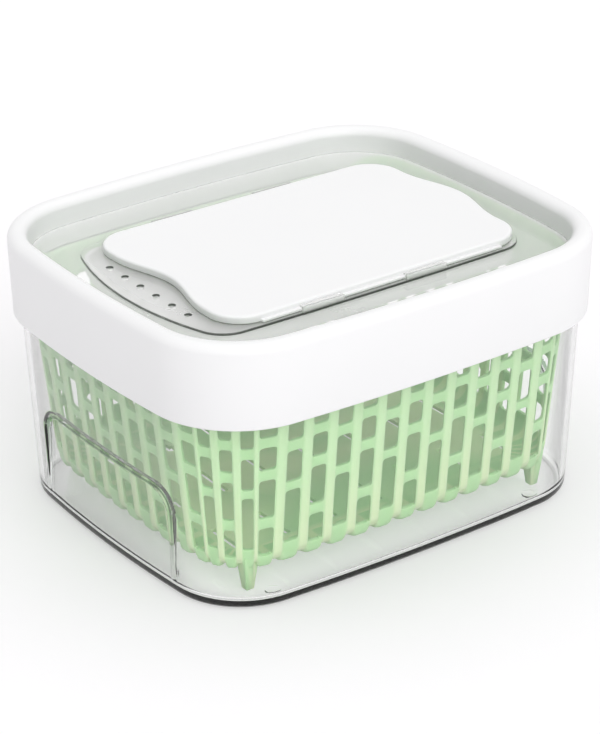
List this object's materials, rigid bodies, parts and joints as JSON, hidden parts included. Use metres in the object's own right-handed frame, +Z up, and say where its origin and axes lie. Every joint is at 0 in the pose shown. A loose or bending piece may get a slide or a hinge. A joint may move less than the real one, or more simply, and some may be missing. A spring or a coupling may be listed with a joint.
{
  "type": "produce keeper",
  "caption": "Clear rectangular food tub with a slotted lift-out basket, a white lid with a clear window, a sliding vent cover and a filter box with a hinged grille.",
  "frame": {"origin": "middle of the tub's underside, which is the bottom centre of the closed keeper", "axes": "+Z up, +X along the long sides towards the end without vent holes, +Y towards the back long side"},
  "size_m": [0.2, 0.169, 0.1109],
  "materials": {
    "clear_plastic": "clear polished",
    "clear_window": "clear polished",
    "green_plastic": "translucent satin",
    "white_plastic": "satin",
    "frosted_plastic": "frosted",
    "pouch_fabric": "non-woven pouch"
  },
  "bodies": {
    "tub": {"tub": "clear_plastic"},
    "basket": {"basket": "green_plastic"},
    "lid": {"lid_frame": "white_plastic", "lid_window": "clear_window", "filter_cage": "frosted_plastic", "carbon_sachet": "pouch_fabric"},
    "vent_cover": {"vent_cover": "white_plastic"},
    "filter_door": {"filter_door": "frosted_plastic"}
  },
  "joints": [
    {"name": "basket_lift", "type": "slide", "parent": "tub", "child": "basket", "axis": [0, 0, 1], "range_m": [0, 0.12]},
    {"name": "lid_lift", "type": "slide", "parent": "basket", "child": "lid", "axis": [0, 0, 1], "range_m": [0, 0.1]},
    {"name": "vent_slide", "type": "slide", "parent": "lid", "child": "vent_cover", "axis": [1, 0, 0], "range_m": [-0.011, 0]},
    {"name": "filter_door_hinge", "type": "hinge", "parent": "lid", "child": "filter_door", "pos_m": [0, 0.0332, 0.0863], "axis": [1, 0, 0], "range_deg": [0, 95]}
  ]
}
